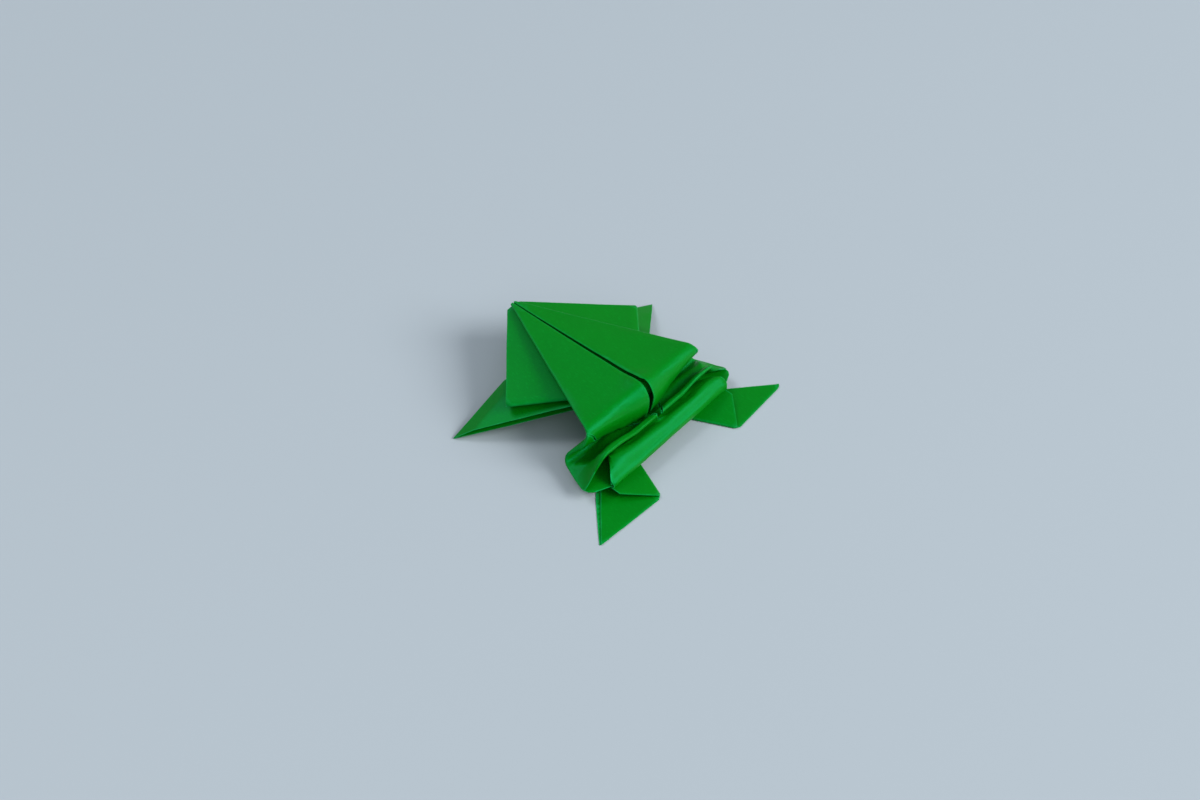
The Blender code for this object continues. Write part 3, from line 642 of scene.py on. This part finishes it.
def ramp(values: np.ndarray, start: float, finish: float) -> np.ndarray:
    """Rises smoothly from 0 at the start to 1 at the finish, and stays there.

    Args:
        values: Where to measure.
        start: The value that gives 0.
        finish: The value that gives 1.

    Returns:
        The shares.
    """
    share = slope(values, start, finish)
    return share * share * (3.0 - 2.0 * share)


def lifted(heights: np.ndarray, base: float, full: float, over: float) -> np.ndarray:
    """How far heights stand over a base, level past one height and fading out by another.

    Args:
        heights: The heights.
        base: The height that gives 0.
        full: The height from which the result grows no more.
        over: The height at which it has faded out.

    Returns:
        The results.
    """
    return np.clip(heights - base, 0.0, full - base) * slope(heights, over, full)


def pushed(amounts: np.ndarray, direction: tuple) -> np.ndarray:
    """Moves of the given sizes in one direction, a row for each."""
    return amounts[:, None] * np.array(direction)


class Warp:
    """A small smooth change of the paper's shape."""

    def shift(self, points: np.ndarray) -> np.ndarray:
        """How far every point moves.

        Args:
            points: One row of x, y, z for each point.

        Returns:
            One row of x, y, z for each point.
        """
        raise NotImplementedError


@dataclass(frozen=True)
class Parting(Warp):
    """Draws the two long panels of the back apart, so that the slit between them opens."""

    half_gap: float = 0.17 * MM
    run: float = 4.0 * MM
    along: tuple = mm(-24.6, -21.5)
    height: tuple = mm(7.5, 9.5)

    def shift(self, points: np.ndarray) -> np.ndarray:
        """How far every point moves."""
        side, along, height = points.T
        near = np.clip(1.0 - np.abs(side) / self.run, 0.0, 1.0) ** 2
        share = ramp(along, *self.along) * ramp(height, *self.height)
        return pushed(np.sign(side) * near * share * self.half_gap, ACROSS)


@dataclass(frozen=True)
class TailCrown(Warp):
    """Crowns the tail: it falls towards the flaps before it and towards its own rear rim."""

    base: float = 2.32 * MM
    full: float = 5.95 * MM
    over: float = 6.95 * MM
    hidden: tuple = mm(9.0, 12.0)
    front: tuple = mm(13.4, 16.3)
    rear: tuple = mm(15.0, 18.4)
    front_share: float = 0.26
    rear_share: float = 0.58
    rear_power: float = 1.6

    def shift(self, points: np.ndarray) -> np.ndarray:
        """How far every point moves."""
        along, height = points[:, 1], points[:, 2]
        before = ramp(along, *self.hidden) * (1.0 - ramp(along, *self.front))
        behind = slope(along, *self.rear) ** self.rear_power
        share = before * self.front_share + behind * self.rear_share
        return pushed(lifted(height, self.base, self.full, self.over) * share, DOWN)


@dataclass(frozen=True)
class FootFan(Warp):
    """Slides the left hind foot's lower layer out past the upper one, at the outer edge."""

    top: tuple = mm(19.66, 15.63)
    toe: tuple = mm(27.67, 24.91)
    outward: tuple = (0.757, -0.653)
    lower: tuple = mm(0.11, 0.19)
    reach: float = 5.0 * MM
    outside: tuple = mm(-4.0, -2.0)
    before_top: float = -0.25
    at_top: float = 1.15 * MM
    at_toe: float = 0.35 * MM

    def shift(self, points: np.ndarray) -> np.ndarray:
        """How far every point moves."""
        line = np.array(self.toe) - np.array(self.top)
        offset = points[:, :2] - np.array(self.top)
        along = offset @ line / (line @ line)
        inside = -(offset @ np.array(self.outward))
        depth = 1.0 - ramp(points[:, 2], *self.lower)
        size = self.at_top + (self.at_toe - self.at_top) * np.clip(along, 0.0, 1.0)
        share = depth * (1.0 - ramp(inside, 0.0, self.reach)) * ramp(inside, *self.outside)
        share = share * ramp(along, self.before_top, 0.0)
        return pushed(share * size, (*self.outward, 0.0))


@dataclass(frozen=True)
class BluntToe(Warp):
    """Pushes the tip of the right hind foot back, as if it was knocked there."""

    outward: tuple = (-0.689, 0.725)
    limit: float = 34.80 * MM
    kept: float = 0.12

    def shift(self, points: np.ndarray) -> np.ndarray:
        """How far every point moves."""
        beyond = np.maximum(points[:, :2] @ np.array(self.outward) - self.limit, 0.0)
        return pushed(-(beyond * (1.0 - self.kept)), (*self.outward, 0.0))


@dataclass(frozen=True)
class DeepValley(Warp):
    """Presses the rear flaps down where they dive under the ridge of the back."""

    middle: float = 11.2 * MM
    radius: float = 1.9 * MM
    base: float = 2.32 * MM
    full: float = 7.0 * MM
    over: float = 9.2 * MM
    share: float = 0.27

    def shift(self, points: np.ndarray) -> np.ndarray:
        """How far every point moves."""
        rise = lifted(points[:, 2], self.base, self.full, self.over)
        near = np.exp(-(((points[:, 1] - self.middle) / self.radius) ** 2))
        return pushed(rise * self.share * near, DOWN)


@dataclass(frozen=True)
class RidgeEnds(Warp):
    """Tightens the ridge's round bend towards both of its ends, from below."""

    tight: float = 1.15 * MM
    side: tuple = mm(6.5, 13.0)
    along: tuple = mm(5.0, 7.5)
    foot: float = 4.0 * MM
    low: float = 7.9 * MM
    high: float = 11.5 * MM

    def shift(self, points: np.ndarray) -> np.ndarray:
        """How far every point moves."""
        side, along, height = points.T
        share = slope(height, self.high, self.low) * slope(height, self.foot, self.low)
        share = share * ramp(np.abs(side), *self.side) * ramp(along, *self.along)
        return pushed(share * self.tight, UP)


@dataclass(frozen=True)
class Dent(Warp):
    """Presses a shallow dent into the paper."""

    centre: tuple
    push: tuple
    radii: tuple

    def shift(self, points: np.ndarray) -> np.ndarray:
        """How far every point moves."""
        away = (points - np.array(self.centre)) / np.array(self.radii)
        return pushed(np.exp(-(away * away).sum(axis=1)), self.push)


@dataclass
class FoldedSkin:
    """The frog's paper as a fine mesh over the folded solid of the frame."""

    node: str = SHEET_NODE
    weld: float = 1e-8
    longest_edge: float = 1.6 * MM
    flattest_bulge: float = 0.022 * MM
    deepest_bulge: float = 0.06 * MM
    bend_limit: float = math.radians(66.0)
    passes: int = 4
    fold_turn: float = math.radians(40.0)
    cut_turn: float = math.radians(80.0)
    mark_step: float = 0.2 * MM
    tail_start: float = 14.2 * MM
    tail_height: float = 1.5 * MM
    tail_ends: tuple = mm(15.0, 17.0)
    tail_crest: tuple = mm(14.6, 15.6)
    tail_side: tuple = mm(2.3, 2.9)
    tail_softness: float = 0.5
    tail_rounds: int = 6
    ripple: float = 0.16 * MM
    ripple_length: float = 15.0 * MM
    crumple: float = 0.05 * MM
    crumple_length: float = 5.0 * MM
    crumple_offset: tuple = (7.1, 3.3, 5.7)
    grounded: float = 3.0 * MM
    seed: int = 7
    warps: tuple = (
        Parting(),
        DeepValley(),
        RidgeEnds(),
        Dent(centre=mm(0.0, 10.1, 12.0), push=mm(0.0, 0.24, 0.22), radii=mm(17.0, 1.4, 1.6)),
        TailCrown(),
        FootFan(),
        BluntToe(),
        Dent(centre=mm(-0.2, 15.3, 5.4), push=mm(0.0, -0.10, -0.38), radii=mm(0.9, 1.6, 2.5)),
    )
    finish: PaperFinish = field(default_factory=PaperFinish)

    def build(self, solid: bpy.types.Object) -> bpy.types.Object:
        """Copies the solid, refines it, marks it and dresses it.

        Args:
            solid: The frame's folded sheet.

        Returns:
            The skin.
        """
        net = self.welded(solid.data)
        marks = self.creases(net)
        for _ in range(self.passes):
            net.refine(self.longest_edge, self.flattest_bulge, self.bend_limit)
        for warp in self.warps:
            net.points = net.points + warp.shift(net.points)
            marks = {mark: points + warp.shift(points) for mark, points in marks.items()}
        self.soften_tail(net)
        data = bpy.data.meshes.new("paper_skin")
        data.from_pydata(net.points.tolist(), [], net.faces.tolist())
        for mark, points in marks.items():
            self.mark(data, mark, points)
        self.waver(data)
        data.shade_smooth()
        data.set_sharp_from_angle(angle=self.bend_limit)
        data.materials.append(self.finish.material())
        skin = bpy.data.objects.new("paper_skin", data)
        bpy.context.scene.collection.objects.link(skin)
        return skin

    def welded(self, data: bpy.types.Mesh) -> TriangleNet:
        """Reads the solid as one closed net.

        Args:
            data: The solid's mesh.

        Returns:
            The net.
        """
        mesh = bmesh.new()
        mesh.from_mesh(data)
        bmesh.ops.remove_doubles(mesh, verts=mesh.verts[:], dist=self.weld)
        bmesh.ops.triangulate(mesh, faces=mesh.faces[:])
        points = np.array([v.co[:] for v in mesh.verts], float)
        faces = np.array([[v.index for v in f.verts] for f in mesh.faces], int)
        mesh.free()
        return TriangleNet(points, faces, self.deepest_bulge)

    def creases(self, net: TriangleNet) -> dict[Mark, np.ndarray]:
        """Finds the folds and the cut edges, leaving the soft folds on top of the tail out.

        Args:
            net: The net before it is refined.

        Returns:
            Points along them, by mark.
        """
        ends, owners, _ = net.edges()
        turns = net.turns(owners)
        middles = net.points[ends].mean(axis=1)
        firm = (middles[:, 1] < self.tail_start) | (middles[:, 2] < self.tail_height)
        folds = (turns > self.fold_turn) & (turns < self.cut_turn) & firm
        return {
            Mark.FOLD: self.along(net.points[ends[folds]]),
            Mark.CUT: self.along(net.points[ends[turns >= self.cut_turn]]),
        }

    def along(self, edges: np.ndarray) -> np.ndarray:
        """Points at small steps along edges.

        Args:
            edges: The two ends of each edge.

        Returns:
            The points.
        """
        rows = []
        for start, finish in edges:
            length = float(np.linalg.norm(finish - start))
            count = max(1, math.ceil(length / self.mark_step))
            rows.append(start + (finish - start) * (np.arange(count + 1) / count)[:, None])
        return np.concatenate(rows)

    def soften_tail(self, net: TriangleNet) -> None:
        """Rounds the facets on top of the tail.

        Args:
            net: The refined net.
        """
        side, along, height = net.points.T
        inner = 1.0 - ramp(np.abs(side), *self.tail_ends)
        share = self.tail_softness * inner * ramp(along, *self.tail_crest)
        net.soften(share * ramp(height, *self.tail_side), self.tail_rounds)

    def waver(self, data: bpy.types.Mesh) -> None:
        """Moves the paper by a smooth field, all plies together, so that no flat stays dead flat.

        Args:
            data: The refined skin.
        """
        noise.seed_set(self.seed)
        low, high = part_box(self.node)
        sink = Vector((0.0, 0.0, self.ripple + self.crumple))
        offset = Vector(self.crumple_offset)
        for vert in data.vertices:
            place = vert.co
            long_wave = noise.noise_vector(place / self.ripple_length)
            short_wave = noise.noise_vector(place / self.crumple_length + offset)
            shift = long_wave * self.ripple + short_wave * self.crumple - sink
            moved = place + shift * min(1.0, max(0.0, (place.z - low.z) / self.grounded))
            vert.co = [min(max(moved[axis], low[axis]), high[axis]) for axis in range(3)]

    def mark(self, data: bpy.types.Mesh, mark: Mark, points: np.ndarray) -> None:
        """Stores each point's distance from the nearest of some points.

        Args:
            data: The skin's mesh.
            mark: The measure to store.
            points: The points to measure from.
        """
        tree = KDTree(len(points))
        for i, point in enumerate(points.tolist()):
            tree.insert(point, i)
        tree.balance()
        distances = np.array([tree.find(v.co)[2] for v in data.vertices], np.float32)
        attribute = data.attributes.new(mark.value, "FLOAT", "POINT")
        attribute.data.foreach_set("value", distances)


@dataclass
class Tabletop:
    """A plain pale table that runs past the view."""

    half_size: float = 1.6
    squares: int = 8
    colour: tuple = (0.492, 0.567, 0.632, 1.0)
    darker: float = 0.97
    tone: Speckle = Speckle(3.0, 2.0)
    roughness: float = 0.55
    gloss: float = 0.3

    def build(self) -> bpy.types.Object:
        """Makes the table's surface.

        Returns:
            The floor.
        """
        mesh = bmesh.new()
        bmesh.ops.create_grid(
            mesh, x_segments=self.squares, y_segments=self.squares, size=self.half_size
        )
        data = bpy.data.meshes.new("tabletop")
        mesh.to_mesh(data)
        mesh.free()
        data.materials.append(self.material())
        floor = bpy.data.objects.new("tabletop", data)
        bpy.context.scene.collection.objects.link(floor)
        return floor

    def material(self) -> bpy.types.Material:
        """Builds the table's material, with a faint cloudiness.

        Returns:
            The material.
        """
        graph = Graph("pale_table")
        shade = (*(channel * self.darker for channel in self.colour[:3]), 1.0)
        tone = graph.noise(graph.place(), self.tone)
        inputs = {
            "Base Color": graph.mixed(tone, self.colour, shade),
            "Roughness": self.roughness,
            "Specular IOR Level": self.gloss,
        }
        return graph.surface(inputs)


@dataclass(frozen=True)
class Softbox:
    """One square soft light, aimed at the frog."""

    name: str
    azimuth: float
    elevation: float
    size: float
    power: float
    distance: float = 2.4
    colour: tuple = (1.0, 1.0, 1.0)

    def build(self, target: Vector) -> bpy.types.Object:
        """Sets the light up.

        Args:
            target: The point that it is aimed at.

        Returns:
            The lamp.
        """
        lamp = bpy.data.lights.new(self.name, "AREA")
        lamp.shape = "SQUARE"
        lamp.size = self.size
        lamp.energy = self.power
        lamp.color = self.colour
        holder = bpy.data.objects.new(self.name, lamp)
        aim(holder, target, towards(self.azimuth, self.elevation), self.distance)
        return holder


@dataclass(frozen=True)
class Viewpoint:
    """The camera of the photograph, fitted to the frog's corners in its 1200 by 800 frame."""

    azimuth: float = 133.53
    elevation: float = 44.84
    distance: float = 0.3058
    focal_pixels: float = 1536.7
    frame_width: float = 1200.0
    sensor: float = 36.0
    nearest: float = 0.01
    farthest: float = 20.0
    target: tuple = (0.00045, -0.00107, 0.0)

    def build(self) -> bpy.types.Object:
        """Makes the camera and gives it to the scene.

        Returns:
            The camera.
        """
        data = bpy.data.cameras.new("photo_view")
        data.sensor_width = self.sensor
        data.lens = self.sensor * self.focal_pixels / self.frame_width
        data.clip_start = self.nearest
        data.clip_end = self.farthest
        camera = bpy.data.objects.new("photo_view", data)
        direction = towards(self.azimuth, self.elevation)
        aim(camera, Vector(self.target), direction, self.distance)
        bpy.context.scene.camera = camera
        return camera


@dataclass
class Studio:
    """The room light: a pale world and the soft lights."""

    world_colour: tuple = (0.86, 0.93, 1.0, 1.0)
    world_strength: float = 0.27
    target: tuple = (0.0, 0.0, 0.0)
    lights: tuple = (
        Softbox("window", 206.0, 33.0, size=1.30, power=52.0, colour=(1.0, 0.985, 0.96)),
        Softbox("far window", 14.0, 52.0, size=1.00, power=16.0),
        Softbox("fill", 150.0, 40.0, size=1.60, power=8.0),
    )

    def build(self) -> list[bpy.types.Object]:
        """Lights the scene and sets its colour view.

        Returns:
            The lamps.
        """
        world = bpy.data.worlds.new("room")
        world.use_nodes = True
        sky = world.node_tree.nodes["Background"]
        sky.inputs["Color"].default_value = self.world_colour
        sky.inputs["Strength"].default_value = self.world_strength
        bpy.context.scene.world = world
        bpy.context.scene.view_settings.view_transform = "Standard"
        return [light.build(Vector(self.target)) for light in self.lights]


def aim(holder: bpy.types.Object, target: Vector, direction: Vector, distance: float) -> None:
    """Places a lamp or a camera so that it looks at a point, and adds it to the scene.

    Args:
        holder: The lamp or camera.
        target: The point that it looks at.
        direction: The unit vector from that point to it.
        distance: How far away it stands.
    """
    holder.location = target + direction * distance
    holder.rotation_mode = "QUATERNION"
    holder.rotation_quaternion = (-direction).to_track_quat("-Z", "Y")
    bpy.context.scene.collection.objects.link(holder)


def towards(azimuth: float, elevation: float) -> Vector:
    """The direction from the frog towards a viewer.

    Args:
        azimuth: About the upright axis in degrees, where 0 looks along +Y.
        elevation: Above the table, in degrees.

    Returns:
        A unit vector.
    """
    turn, rise = math.radians(azimuth), math.radians(elevation)
    level = math.cos(rise)
    return Vector((math.sin(turn) * level, -math.cos(turn) * level, math.sin(rise)))


def main() -> None:
    """Builds the camera, the frog's paper, the table and the light."""
    logging.basicConfig(level=logging.INFO, format="%(name)s: %(message)s")
    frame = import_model()
    camera = Viewpoint().build()
    log.info("%s: lens %.1f mm", camera.name, camera.data.lens)
    skin = FoldedSkin().build(frame["nodes"][SHEET_NODE])
    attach(skin, BODY)
    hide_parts(SHEET_NODE)
    log.info("%s: %d faces", skin.name, len(skin.data.polygons))
    floor = Tabletop().build()
    log.info("%s: %d faces", floor.name, len(floor.data.polygons))
    lamps = Studio().build()
    log.info("studio: %d lights", len(lamps))
    log.info("boxes written")


if __name__ == "__main__":
    main()
